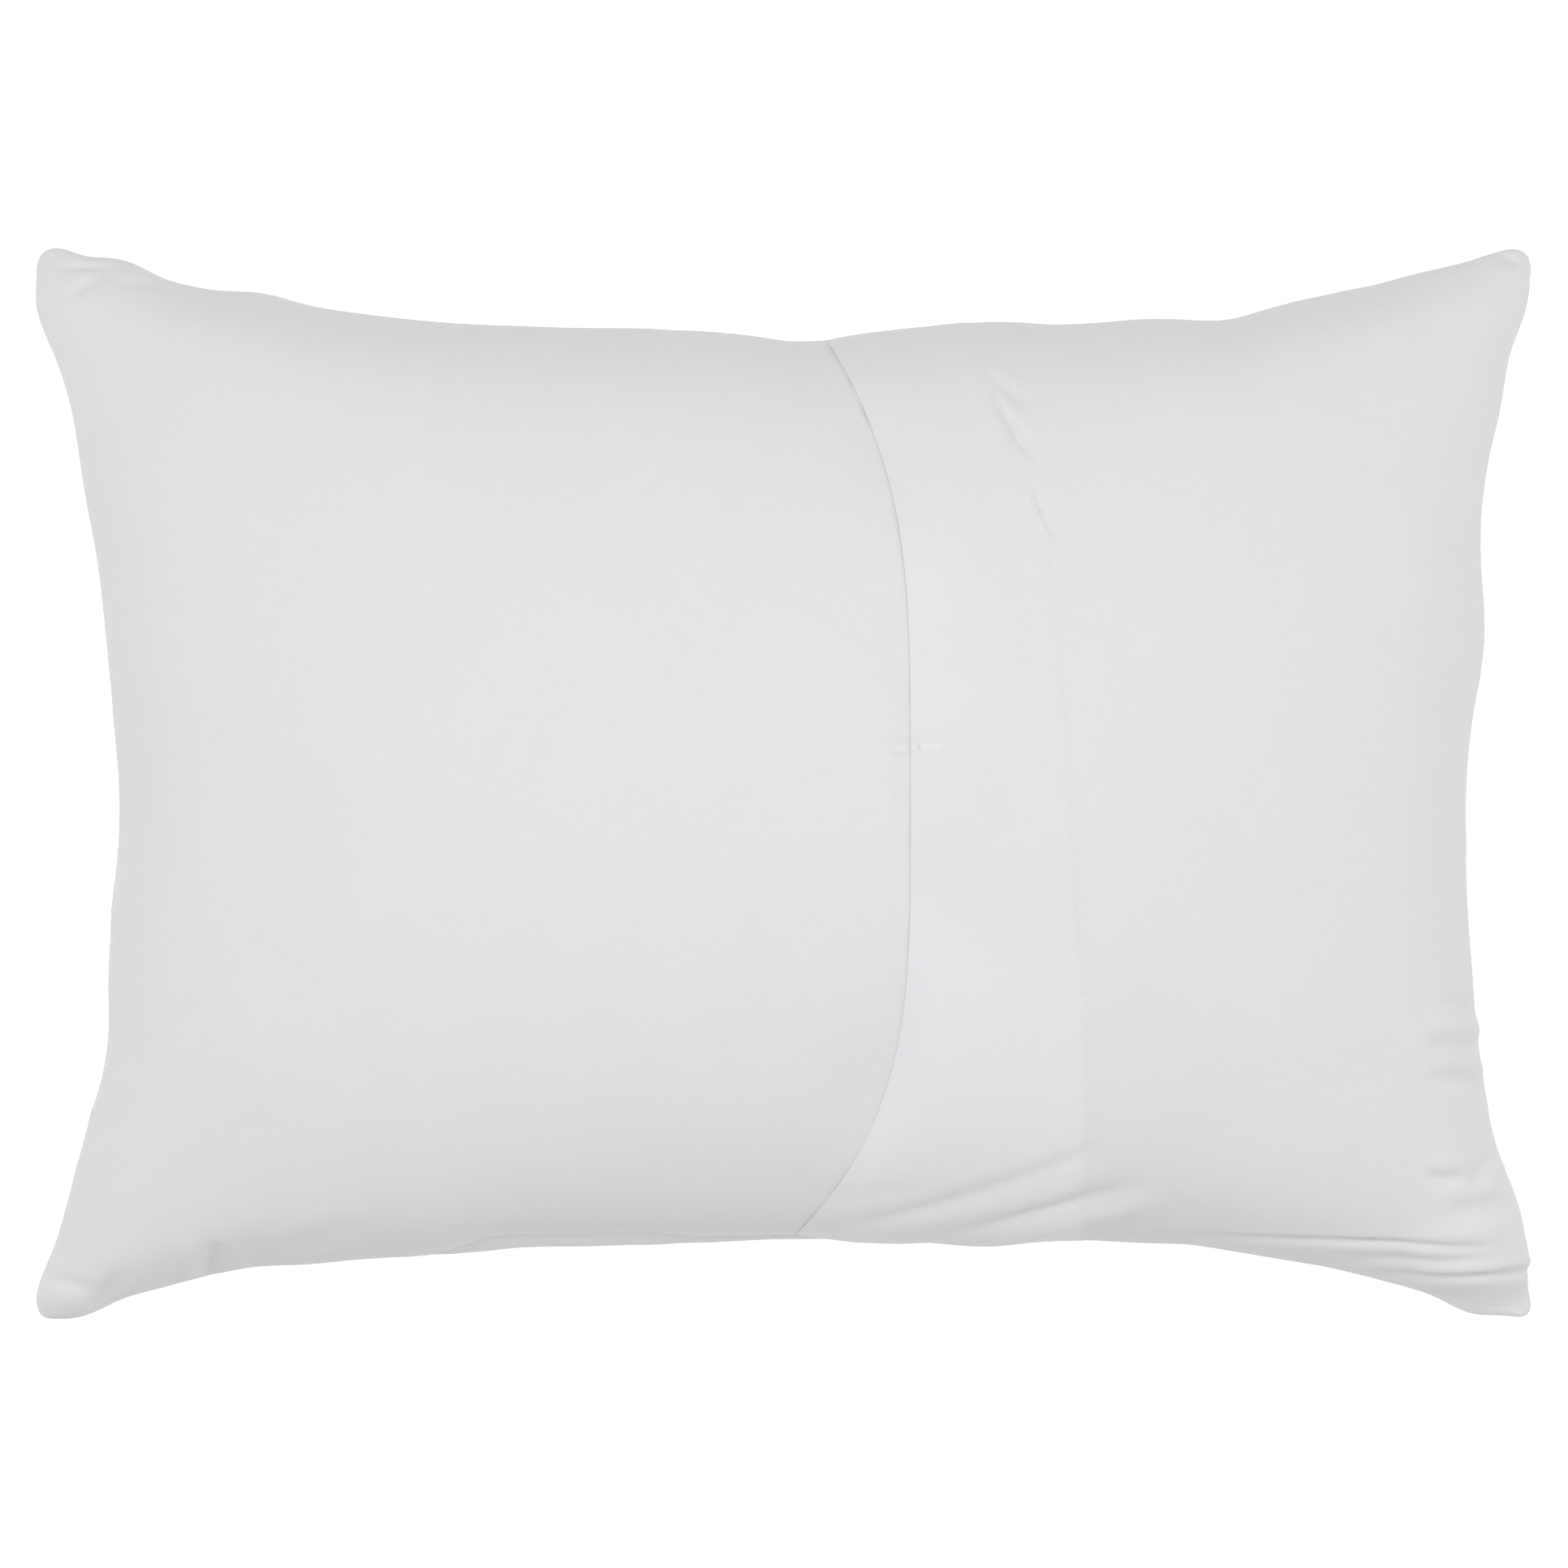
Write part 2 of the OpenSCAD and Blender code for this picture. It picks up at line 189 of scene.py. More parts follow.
# How the two sides of the opening part, in mm: Y, half-length, lift of the flap, dip beside it.
LIFT_SHARE, DIP_SHARE = 0.18, 0.14  # how much of each lift and dip is used
GAPS = (
    (196, 3, 0.8, 2), (185, 3, 1.0, 3), (171, 4.5, 1.2, 4.5), (148, 13, 0.9, 1.5), (121, 11, 1.0, 1.8),
    (95, 26, 1.2, 1.2), (40, 16, 1.0, 1.5), (17.5, 2.2, -0.9, 4), (-4, 5, 0.6, 2), (-24, 9, 0.9, 3),
    (-44, 3.5, 0.5, 2), (-82, 28, 1.2, 1), (-140, 20, 0.5, 0.8), (-182, 7, 0.8, 1.6), (-198, 6, 0.3, 0.8),
)


# ============================================ small helpers
def smooth_step(a, low, high):
    f = np.clip((a - low) / (high - low), 0, 1)
    return f * f * (3 - 2 * f)


def bump(place, middle, reach):
    return np.exp(-(((place - middle) / reach) ** 2))


def fade(distance, reach):
    """1 at no distance, falling smoothly to 0 at reach."""
    return 1 - smooth_step(distance, 0, reach)


def smooth_noise(x, y, seed):
    """A smooth random field between about -1 and 1, one lump a unit."""
    rng = np.random.default_rng(seed)
    table = rng.uniform(-1, 1, (64, 64))
    i, j = np.floor(x).astype(int), np.floor(y).astype(int)
    fx, fy = x - i, y - j
    fx, fy = fx * fx * (3 - 2 * fx), fy * fy * (3 - 2 * fy)
    corner = [[table[(i + a) % 64, (j + b) % 64] for b in (0, 1)] for a in (0, 1)]
    low = corner[0][0] * (1 - fx) + corner[1][0] * fx
    high = corner[0][1] * (1 - fx) + corner[1][1] * fx
    return low * (1 - fy) + high * fy


def graded(start, end, middle_step, zones_start=(), zones_end=()):
    """Places from start to end. A zone is (its length, the step within it), from that end inward."""

    def near(zones):
        places = [0.0]
        for length, step in zones:
            count = max(1, round(length / step))
            places += [places[-1] + length / count * (k + 1) for k in range(count)]
        return np.array(places)

    first, last = near(zones_start), near(zones_end)
    a, b = start + first[-1], end - last[-1]
    middle = np.linspace(a, b, max(1, round((b - a) / middle_step)) + 1)
    return np.concatenate((start + first[:-1], middle, (end - last[::-1])[1:]))


def unit(vectors):
    return vectors / np.maximum(np.linalg.norm(vectors, axis=-1, keepdims=True), 1e-12)


def seen(points):
    """X and Y of points as the camera shows them, measured at the seam's height."""
    return points[..., :2] * (CAMERA_RISE / (CAMERA_RISE + SEAM_Z - points[..., 2]))[..., None]


def arc_share(points):
    arc = np.concatenate(([0], np.cumsum(np.linalg.norm(np.diff(points, axis=0), axis=1))))
    return arc / arc[-1]


def along_curve(curve, share):
    return np.column_stack([np.interp(share, arc_share(curve), c) for c in curve.T])


# ============================================ the cloth simulation
def half_length(v):
    return HALF[0] * (WAIST[0] + (1 - WAIST[0]) * np.abs(v) ** SIDE_POWER[0])


def half_width(u):
    return HALF[1] * (WAIST[1] + (1 - WAIST[1]) * np.abs(u) ** SIDE_POWER[1])


def even_arc(share, half, rise, power):
    """The place from -1 to 1 along a domed section that lies at a share of its arc."""
    u = np.sin(np.linspace(0, math.pi / 2, 300))
    x, z = half * u, rise * np.sqrt(1 - u**power)
    return np.sign(share) * np.interp(np.abs(share), arc_share(np.column_stack((x, z))), u)


def rounded(s, t):
    """Flat places with the pattern's square corners turned into round ones."""
    inner = CUT / 2 - CORNER_ROUND
    a = np.clip((np.abs(s) - inner[0]) / CORNER_ROUND, 0, 1)
    b = np.clip((np.abs(t) - inner[1]) / CORNER_ROUND, 0, 1)
    corner = (a > 0) & (b > 0)
    s_round = np.sign(s) * (inner[0] + CORNER_ROUND * a * np.sqrt(1 - b**2 / 2))
    t_round = np.sign(t) * (inner[1] + CORNER_ROUND * b * np.sqrt(1 - a**2 / 2))
    return np.where(corner, s_round, s), np.where(corner, t_round, t)


def first_shape(cells, rise):
    """Flat places and roughly filled places of one side's grid, before the cloth settles."""
    share = [np.linspace(-1, 1, n + 1) for n in cells]
    s, t = np.meshgrid(share[0] * S_END, share[1] * T_END, indexing="ij")
    flat_s, flat_t = rounded(s, t)
    u, v = np.zeros_like(s), np.zeros_like(s)
    for j, w in enumerate(share[1]):
        lift = rise * math.sqrt(1 - (0.93 * abs(w)) ** PROFILE[1])
        u[:, j] = even_arc(flat_s[:, j] * 2 / CUT[0], half_length(w), lift, PROFILE[0])
    for i, w in enumerate(share[0]):
        lift = rise * math.sqrt(1 - (0.95 * abs(w)) ** PROFILE[0])
        v[i] = even_arc(flat_t[i] * 2 / CUT[1], half_width(w), lift, PROFILE[1])
    dome = np.clip((1 - np.abs(u) ** PROFILE[0]) * (1 - np.abs(v) ** PROFILE[1]), 0, 1)
    height = rise * np.sqrt(dome)
    height[[0, -1]] = height[:, [0, -1]] = 0
    flat = np.dstack((flat_s, flat_t, np.zeros_like(s)))
    return flat, np.dstack((u * half_length(v), v * half_width(u), height))


def grid_quads(ids):
    corners = (ids[:-1, :-1], ids[1:, :-1], ids[1:, 1:], ids[:-1, 1:])
    return np.stack(corners, axis=-1).reshape(-1, 4)


def bag_ids(cells):
    """Vertex numbers of the two sides' grids, which share their border."""
    count = (cells[0] + 1) * (cells[1] + 1)
    top = np.arange(count).reshape(cells[0] + 1, cells[1] + 1)
    bottom = top.copy()
    inside = (cells[0] - 1) * (cells[1] - 1)
    bottom[1:-1, 1:-1] = np.arange(count, count + inside).reshape(cells[0] - 1, -1)
    return top, bottom


def set_cloth(bag, flat_key, frames):
    cloth = bag.modifiers.new("cloth", "CLOTH")
    put = cloth.settings
    put.rest_shape_key = flat_key
    put.quality = 5
    put.mass = 0.3
    put.tension_stiffness = put.compression_stiffness = 60
    put.shear_stiffness = 5
    put.bending_stiffness = 1.0
    put.tension_damping = put.compression_damping = put.shear_damping = 12
    put.air_damping = 5
    put.use_pressure = True
    put.uniform_pressure_force = 3
    put.effector_weights.gravity = 0
    cloth.collision_settings.use_collision = False
    cloth.point_cache.frame_start = 1
    cloth.point_cache.frame_end = frames


def inflate(cells, rise, frames):
    """The two sides' points after the cover's cloth, cut flat, has settled round its filling."""
    flat, top = first_shape(cells, rise)
    top_id, bottom_id = bag_ids(cells)
    lumps = smooth_noise(flat[..., 0] / 0.06 + 9, flat[..., 1] / 0.06 + 9, SEEDS["bag"]) * 1.2 * MM
    top[..., 2] += lumps * np.minimum(top[..., 2] / 0.03, 1)
    points = np.zeros((bottom_id.max() + 1, 3))
    flats = np.zeros_like(points)
    points[bottom_id], flats[bottom_id] = top * (1, 1, -1), flat
    points[top_id], flats[top_id] = top, flat
    quads = np.concatenate((grid_quads(top_id), grid_quads(bottom_id)[:, ::-1]))
    mesh = bpy.data.meshes.new("bag")
    mesh.from_pydata(points.tolist(), [], quads.tolist())
    bag = bpy.data.objects.new("bag", mesh)
    bpy.context.scene.collection.objects.link(bag)
    bag.shape_key_add(name="Basis")
    flat_key = bag.shape_key_add(name="flat")
    flat_key.data.foreach_set("co", flats.ravel())
    set_cloth(bag, flat_key, frames)
    for number in range(1, frames + 1):
        bpy.context.scene.frame_set(number)
    settled = bag.evaluated_get(bpy.context.evaluated_depsgraph_get()).to_mesh()
    flat_points = np.empty(points.size)
    settled.vertices.foreach_get("co", flat_points)
    bpy.data.objects.remove(bag)
    bpy.context.scene.frame_set(1)
    points = flat_points.reshape(-1, 3)
    return points[top_id], points[bottom_id]


# ============================================ fitting it to the frame
def side_reach(side, place):
    """How far out the seam lies, in mm, at a place in mm along one side."""
    long_side = side in ("top", "bottom")
    across, along = (HALF[1], HALF[0]) if long_side else (HALF[0], HALF[1])
    waist, power = (WAIST[1], SIDE_POWER[1]) if long_side else (WAIST[0], SIDE_POWER[0])
    share = np.abs(place * MM / along)
    out = across / MM * (waist + (1 - waist) * share**power)
    for middle, amount, reach in WAVES[side]:
        out = out + amount * bump(place, middle, reach)
    return np.minimum(out, across / MM - 0.3)


def tip_curve(sx, sy):
    """The rounded tip from its long side to its short side, as 25 points in mm."""
    r = TIP[sx, sy]
    x, y = HALF[0] / MM - r, HALF[1] / MM - r
    start = np.array((sx * x, sy * side_reach("top" if sy > 0 else "bottom", sx * x)))
    end = np.array((sx * side_reach("right" if sx > 0 else "left", sy * y), sy * y))
    middle = np.array((sx * (HALF[0] / MM + 0.5), sy * (HALF[1] / MM + 0.5)))
    q = np.linspace(0, 1, 25)[:, None]
    return start * (1 - q) ** 2 + 2 * middle * q * (1 - q) + end * q**2


def side_curve(side):
    """One side's outline from the middle of one tip to the middle of the next, in metres."""
    sign = 1 if side in ("top", "right") else -1
    if side in ("top", "bottom"):
        first, last = tip_curve(-1, sign), tip_curve(1, sign)
        place = np.linspace(first[0, 0], last[0, 0], 400)
        line = np.column_stack((place, sign * side_reach(side, place)))
        points = (first[12::-1], line[1:-1], last[:13])
    else:
        first, last = tip_curve(sign, -1), tip_curve(sign, 1)
        place = np.linspace(first[-1, 1], last[-1, 1], 400)
        line = np.column_stack((sign * side_reach(side, place), place))
        points = (first[12:], line[1:-1], last[:11:-1])
    return np.concatenate(points) * MM


def fit_outline(grids, reach, flatten):
    """Moves both sides' points so that their shared border lies on the outline."""
    borders = {"left": grids[0][0], "right": grids[0][-1],
               "bottom": grids[0][:, 0], "top": grids[0][:, -1]}
    move = {}
    for side, line in borders.items():
        plan = along_curve(side_curve(side), arc_share(line[:, :2])) - line[:, :2]
        move[side] = np.column_stack((plan, -flatten * line[:, 2]))
    n, m = grids[0].shape[:2]
    s, t = np.linspace(0, CUT[0], n), np.linspace(0, CUT[1], m)
    w_left, w_right = fade(s, reach)[:, None, None], fade(CUT[0] - s, reach)[:, None, None]
    w_low, w_top = fade(t, reach)[None, :, None], fade(CUT[1] - t, reach)[None, :, None]
    shift = w_left * move["left"][None] + w_right * move["right"][None]
    shift = shift + w_low * move["bottom"][:, None] + w_top * move["top"][:, None]
    shift = shift - w_left * w_low * move["left"][0] - w_right * w_low * move["right"][0]
    shift = shift - w_left * w_top * move["left"][-1] - w_right * w_top * move["right"][-1]
    for grid in grids:
        grid += shift


def pressed(depth, rest, blend):
    """Depth below the seam once the floor holds it at rest, with a round change over blend."""
    part = depth - (depth - rest + blend) ** 2 / (4 * blend)
    return np.where(depth < rest - blend, depth, np.where(depth > rest + blend, rest, part))


def wrap_share(x):
    """How much of the face's wrap shows at a place along the lower long seam, in metres."""
    x = x / MM
    ends = smooth_step(x, -180, -130) * (1 - smooth_step(x, 2, 35))
    return ends * (1 - 0.3 * smooth_step(x, -58, -46) - 0.2 * smooth_step(x, -46, 8))


def raise_seam(top, bottom):
    """Draws the lower long seam in where the face's cloth wraps round and shows beyond it."""
    amount = wrap_share(top[:, :1, 0])
    distance = np.linspace(0, CUT[1] / MM, top.shape[1])
    place, outward, lift = np.array(WRAP).T
    first = fade(distance, 50)[None] * amount * MM
    top[..., 1] -= outward[0] * first
    top[..., 2] += lift[0] * first
    bottom[..., 1] -= np.interp(distance, place, outward)[None] * amount * MM
    bottom[..., 2] += np.interp(distance, place, lift)[None] * amount * MM


def filled_cover():
    """The top and bottom skins of the filled cover, as grids of points over the flat pattern."""
    step = GRID_STEP
    cells = (round(CUT[0] / step), round(CUT[1] / step))
    top, bottom = inflate(cells, RISE, SETTLE_FRAMES)
    middle = (top.min((0, 1)) + top.max((0, 1))) / 2
    size = (top.max((0, 1)) - top.min((0, 1))) / 2
    for grid in (top, bottom):
        grid[..., :2] = (grid[..., :2] - middle[:2]) * (HALF[0] / size[0], HALF[1] / size[1])
    fit_outline((top, bottom), FIT_REACH, FIT_FLATTEN)
    up, down = CROWN / top[..., 2].max(), -PRESS * SEAM_Z / bottom[..., 2].min()
    for grid in (top, bottom):
        z = grid[..., 2]
        z[:] = np.where(z > 0, z * up, -pressed(-z * down, SEAM_Z, PRESS_BLEND)) + SEAM_Z
    raise_seam(top, bottom)
    return top, bottom


# ============================================ reading a skin
def spline_weights(f):
    return (
        (1 - f) ** 3 / 6,
        (3 * f**3 - 6 * f**2 + 4) / 6,
        (-3 * f**3 + 3 * f**2 + 3 * f + 1) / 6,
        f**3 / 6,
    )


class Skin:
    """A smooth surface through one side's grid, read at flat places (s, t) in metres."""

    def __init__(self, grid, up):
        self.up = up  # 1 where the cloth's outer face looks up, -1 where it looks down
        self.cells = (grid.shape[0] - 1, grid.shape[1] - 1)
        wide = np.concatenate((2 * grid[:1] - grid[1:2], grid, 2 * grid[-1:] - grid[-2:-1]))
        parts = (2 * wide[:, :1] - wide[:, 1:2], wide, 2 * wide[:, -1:] - wide[:, -2:-1])
        self.grid = np.concatenate(parts, axis=1)

    def at(self, s, t):
        x = np.clip((s / CUT[0] + 0.5) * self.cells[0], 0, self.cells[0] - 1e-6)
        y = np.clip((t / CUT[1] + 0.5) * self.cells[1], 0, self.cells[1] - 1e-6)
        i, j = x.astype(int), y.astype(int)
        wx, wy = spline_weights(x - i), spline_weights(y - j)
        out = np.zeros(np.shape(s) + (3,))
        for a in range(4):
            for b in range(4):
                out += (wx[a] * wy[b])[..., None] * self.grid[i + a, j + b]
        return out

    def normal(self, s, t):
        h = 0.8 * MM
        s = np.clip(s, h - S_END, S_END - h)
        t = np.clip(t, h - T_END, T_END - h)
        along = self.at(s + h, t) - self.at(s - h, t)
        across = self.at(s, t + h) - self.at(s, t - h)
        return self.up * unit(np.cross(along, across))


def border_distance(s, t):
    return np.maximum(np.minimum(S_END - np.abs(s), T_END - np.abs(t)), 0)


def seam_relief(s, t, seed):
    """How far the cloth stands off beside the seam: a rolled lip and the pull of its stitches."""
    d = border_distance(s, t)
    lip = 0.75 * MM * (1 - np.exp(-d / (0.8 * MM))) * np.exp(-d / (6 * MM))
    short_side = S_END - np.abs(s) < T_END - np.abs(t)
    place = np.where(short_side, t + 2.0 * np.sign(s), s + 4.0 * np.sign(t))
    fine = smooth_noise(place / 0.007, np.full_like(place, 0.5), seed)
    wide = smooth_noise(place / 0.019, d / 0.05, seed + 1)
    strength = 0.5 + 0.5 * smooth_noise(place / 0.08, np.full_like(place, 3.5), seed + 2)
    pull = 0.35 * fine * np.exp(-d / (7 * MM)) + 0.9 * wide * np.exp(-d / (20 * MM))
    return lip + pull * strength * (1 - np.exp(-d / (1.6 * MM))) * MM


def fold_height(x, y, fold):
    """Height in mm of one fold at places in mm: a ridge or crease along a bowed line."""
    (ax, ay), (bx, by), bow, width, ridge, step = fold
    length = math.hypot(bx - ax, by - ay)
    cx, cy = (bx - ax) / length, (by - ay) / length
    q = ((x - ax) * cx + (y - ay) * cy) / length
    d = ((y - ay) * cx - (x - ax) * cy - 4 * bow * q * (1 - q)) / width
    inside = (q > 0) & (q < 1) & (np.abs(d) < 3)
    ends = np.where(inside, np.sin(math.pi * np.clip(q, 0, 1)), 0) ** 0.7
    return ends * np.exp(-(d**2)) * (ridge + 1.7 * step * d)


def folds(points):
    """Height in metres of all the folds of the side with the opening."""
    x, y = np.moveaxis(seen(points) / MM, -1, 0)
    return sum(fold_height(x, y, fold) for fold in FOLDS) * MM


# ============================================ the opening's lines
def edge_plan(y):
    """X of the flap's free edge at a distance y across the pillow, both in metres."""
    v = np.clip(y / (HALF[1] * WAIST[1]), -1.05, 1.05)
    end = np.where(y > 0, EDGE_TOP, EDGE_BOTTOM)
    power = np.where(y > 0, EDGE_POWER[0], EDGE_POWER[1])
    return (EDGE_MIDDLE - (EDGE_MIDDLE - end) * np.abs(v) ** power) * MM


def hem_plan(y):
    """X of the hem's stitching at a distance y across the pillow, both in metres."""
    reach = 5
    across, along = np.array(HEM_LINE).T
    ends = [np.interp(y / MM + step, across, along) for step in (-reach, 0, reach)]
    return (ends[0] + 2 * ends[1] + ends[2]) / 4 * MM


def flat_of_plan(skin, t, plan):
    """The flat place s on each line t of a skin whose X is plan(Y)."""
    s = np.linspace(-S_END, S_END, 701)
    out = []
    for value in t:
        points = seen(skin.at(s, np.full_like(s, value)))
        out.append(np.interp(0, points[:, 0] - plan(points[:, 1]), s))
    return np.array(out)


def gap_sum(y, which):
    """The flap's lift (2) or the back panel's dip (3) along the edge, in full, in metres."""
    return sum(gap[which] * bump(y / MM, gap[0], gap[1]) for gap in GAPS) * MM


def hollow(e, y):
    """Depth of the soft valley that both layers share where the flap's edge draws in."""
    y = y / MM
    depth = (4.5 * bump(y, -140, 42) + 3.2 * bump(y, 158, 32)) * MM
    reach = (14 + 12 * bump(y, -140, 60)) * MM
    return depth * np.where(e < 0, bump(e, 0, reach), bump(e, 0, 12 * MM))


def groove(e, y):
    """Depth of the narrow groove just left of the edge, half way up the pillow."""
    return 1.0 * MM * bump(y / MM, 0, 75) * bump(e, -3.2 * MM, 3.4 * MM)


def flap_lift(e, y):
    """How far the flap's edge stands off the back panel, less the valley it shares with it."""
    return LIFT_SHARE * gap_sum(y, 2) * np.exp(-np.maximum(e, 0) / (14 * MM)) - hollow(e, y)


def hem_relief(e, width):
    """Steps of the flap's outer face over the hem's plies, by the distance from its edge."""
    from_end = e - width
    ply = 0.30 * MM * (1 - smooth_step(from_end, -1.2 * MM, 1.2 * MM))
    turned = 0.22 * MM * smooth_step(from_end, -TURN_UNDER - 1 * MM, -TURN_UNDER + 1 * MM)
    turned = turned * (1 - smooth_step(from_end, -1 * MM, 1 * MM))
    return ply + turned - 0.32 * MM * bump(from_end, -1 * MM, 0.9 * MM)


def hem_white_and_highlight(e, width, y):
    """How far the hem is tinted whiter: a little for its doubled cloth, most beside the edge as painted
    highlight where the edge rises, and low down.
    """
    y = y / MM
    # painted highlight: bright bands beside the edge, where the flap's edge rises into the light
    lit = bump(y, 90, 32) + bump(y, 38, 18) + bump(y, -84, 36)
    low = smooth_step(-y, 50, 105)
    strength = 0.06 + 0.75 * lit * np.exp(-((e / (30 * MM)) ** 2)) + 0.75 * low
    return np.minimum(strength, 1) * (1 - smooth_step(e - width, -1.2 * MM, 0.4 * MM))


# ============================================ meshes
def new_piece(name, points, faces, uv=None):
    mesh = bpy.data.meshes.new(name)
    mesh.from_pydata(np.asarray(points).tolist(), [], faces if type(faces) is list else faces.tolist())
    if uv is not None:
        corners = np.empty(len(mesh.loops), np.int32)
        mesh.loops.foreach_get("vertex_index", corners)
        layer = mesh.uv_layers.new(name="cloth")
        layer.data.foreach_set("uv", np.asarray(uv)[corners].ravel())
    mesh.polygons.foreach_set("use_smooth", np.ones(len(mesh.polygons), bool))
    mesh.update()
    piece = bpy.data.objects.new(name, mesh)
    bpy.context.scene.collection.objects.link(piece)
    return piece


def grid_normals(points):
    return unit(np.cross(np.gradient(points, axis=0), np.gradient(points, axis=1)))


def closed_sheet(name, outer, thickness, flat, up=1, mask=None):
    """A closed sheet of cloth under a grid of outer points. Flat places are its UVs in metres."""
    inner = outer - up * grid_normals(outer) * thickness
    ids = np.arange(outer.size // 3).reshape(outer.shape[:2])
    count = ids.size
    rim = np.concatenate((ids[:-1, 0], ids[-1, :-1], ids[:0:-1, -1], ids[0, :0:-1]))
    after = np.roll(rim, -1)
    walls = np.stack((after, rim, rim + count, after + count), axis=-1)
    faces = np.concatenate((grid_quads(ids), grid_quads(ids)[:, ::-1] + count, walls))
    if up < 0:
        faces = faces[:, ::-1]
    points = np.concatenate((outer.reshape(-1, 3), inner.reshape(-1, 3)))
    piece = new_piece(name, points, faces, np.concatenate((flat.reshape(-1, 2),) * 2))
    if mask is not None:
        # the hem attribute holds how far the lighter hem colour shows: the hem's whiter cloth, and painted
        # highlight
        values = np.concatenate((mask.ravel(),) * 2).astype(np.float32)
        piece.data.attributes.new("hem", "FLOAT", "POINT").data.foreach_set("value", values)
    return piece


def closed_body(name, top, bottom):
    """One closed mesh of two grids that share their border."""
    top_id, bottom_id = bag_ids((top.shape[0] - 1, top.shape[1] - 1))
    points = np.zeros((bottom_id.max() + 1, 3))
    points[bottom_id], points[top_id] = bottom, top
    return new_piece(name, points, np.concatenate((grid_quads(top_id), grid_quads(bottom_id)[:, ::-1])))


def tubes(name, paths, ups, radius, sides=6, taper=1.0):
    """Round threads along paths, with closed ends, all in one mesh."""
    points, faces, start = [], [], 0
    turn = np.linspace(0, 2 * math.pi, sides, endpoint=False)
    for path, up in zip(paths, ups):
        tangent = unit(np.gradient(path, axis=0))
        side = unit(np.cross(tangent, up))
        over = np.cross(side, tangent)
        count = len(path)
        r = radius * (1 - (1 - taper) * np.linspace(-1, 1, count) ** 4)
        ring = side[:, None] * np.cos(turn)[:, None] + over[:, None] * np.sin(turn)[:, None]
        points.append((path[:, None] + ring * r[:, None, None]).reshape(-1, 3))
        k = start + np.arange(count * sides).reshape(count, sides)
        after = np.roll(k, -1, axis=1)
        quads = np.stack((k[:-1], k[1:], after[1:], after[:-1]), axis=-1).reshape(-1, 4)
        faces += quads.tolist() + [k[0].tolist(), k[-1, ::-1].tolist()]
        start += count * sides
    return new_piece(name, np.concatenate(points), faces)


# ============================================ the cover
top_grid, bottom_grid = filled_cover()
TOP, FACE = Skin(top_grid, 1), Skin(bottom_grid, -1)
ENDS = ((2 * MM, 0.5 * MM), (12 * MM, 1.25 * MM), (36 * MM, 1.8 * MM))
ROWS = graded(-T_END, T_END, 3.0 * MM, ENDS, ENDS)
EDGE = flat_of_plan(TOP, ROWS, edge_plan)
HEM_WIDTH = flat_of_plan(TOP, ROWS, hem_plan) - EDGE


def laid_on(skin, s, t, offset):
    """Points at a distance above the skin's settled surface, with that side's own relief."""
    base = skin.at(s, t)
    relief = seam_relief(s, t, SEEDS["top" if skin is TOP else "face"])
    if skin is TOP:
        relief = relief + folds(base) * smooth_step(border_distance(s, t), 0, 11 * MM)
    return base + skin.normal(s, t) * (relief + offset)[..., None]


def spread(offset, s, t):
    """An offset from the surface that closes up towards the seam that holds all the plies."""
    return offset * (0.12 + 0.88 * smooth_step(border_distance(s, t), 0, 30 * MM))


def pattern_grid(step, zones):
    """Flat places over the whole pattern, closer together in the zones at its border."""
    places = [graded(-cut / 2, cut / 2, step, zones, zones) for cut in CUT]
    return np.meshgrid(*places, indexing="ij")


def beside_edge(e, rows):
    """Flat places at distances from the flap's free edge, on each of the rows."""
    s = np.interp(rows, ROWS, EDGE)[None] + np.asarray(e)[:, None]
    return s, np.broadcast_to(rows[None], s.shape)


def face_piece():
    s, t = pattern_grid(4.2 * MM, ENDS)
    outer = laid_on(FACE, s, t, np.zeros_like(s))
    outer[..., 2] = np.maximum(outer[..., 2], 0)
    # painted highlight: the face's strip beyond the lower long seam takes the lighter, lavender hem colour,
    # though it lies in shade below the pillow's side
    highlight_strip = wrap_share(outer[..., 0]) * fade(t + T_END - 8 * MM, 16 * MM)
    return closed_sheet("cover_face", outer, CLOTH, np.dstack((s, t)), up=-1, mask=highlight_strip)


def back_piece():
    near = 46 * MM
    left = graded(0, 1, 1 / 108, ((0.005, 0.00125), (0.04, 0.0045)))
    s_left = -S_END + (EDGE - near + S_END)[None] * left[:-1, None]
    turn = np.linspace(math.pi / 2, -math.pi / 2, 7)[1:]
    e = np.concatenate((
        np.linspace(-near, -8 * MM, 28), np.linspace(-8 * MM, 4 * MM, 17)[1:],
        np.linspace(4 * MM, OVERLAP - ROLL, 22)[1:], OVERLAP - ROLL + ROLL * np.cos(turn),
        [OVERLAP - 4 * MM],
    ))
    drop = np.zeros(len(left) - 1 + len(e))
    drop[-7:] = np.append(ROLL * (np.sin(turn) - 1), -2 * ROLL)
    s = np.concatenate((s_left, beside_edge(e, ROWS)[0]))
    t = np.broadcast_to(ROWS[None], s.shape)
    e = s - EDGE[None]
    y = seen(TOP.at(s, t))[..., 1]
    sink = UNDER * np.where(e < 0, np.exp(-np.abs(e) / (5 * MM)), 1)
    slot = np.where(e < 0, bump(e, -0.2 * MM, 1.1 * MM), np.exp(-np.abs(e) / (5 * MM)))
    offset = spread(-sink - DIP_SHARE * gap_sum(y, 3) * slot, s, t) - hollow(e, y) - groove(e, y)
    offset = offset + drop[:, None]
    return closed_sheet("cover_back", laid_on(TOP, s, t, offset), CLOTH, np.dstack((s, t)),
                        mask=np.zeros_like(s))


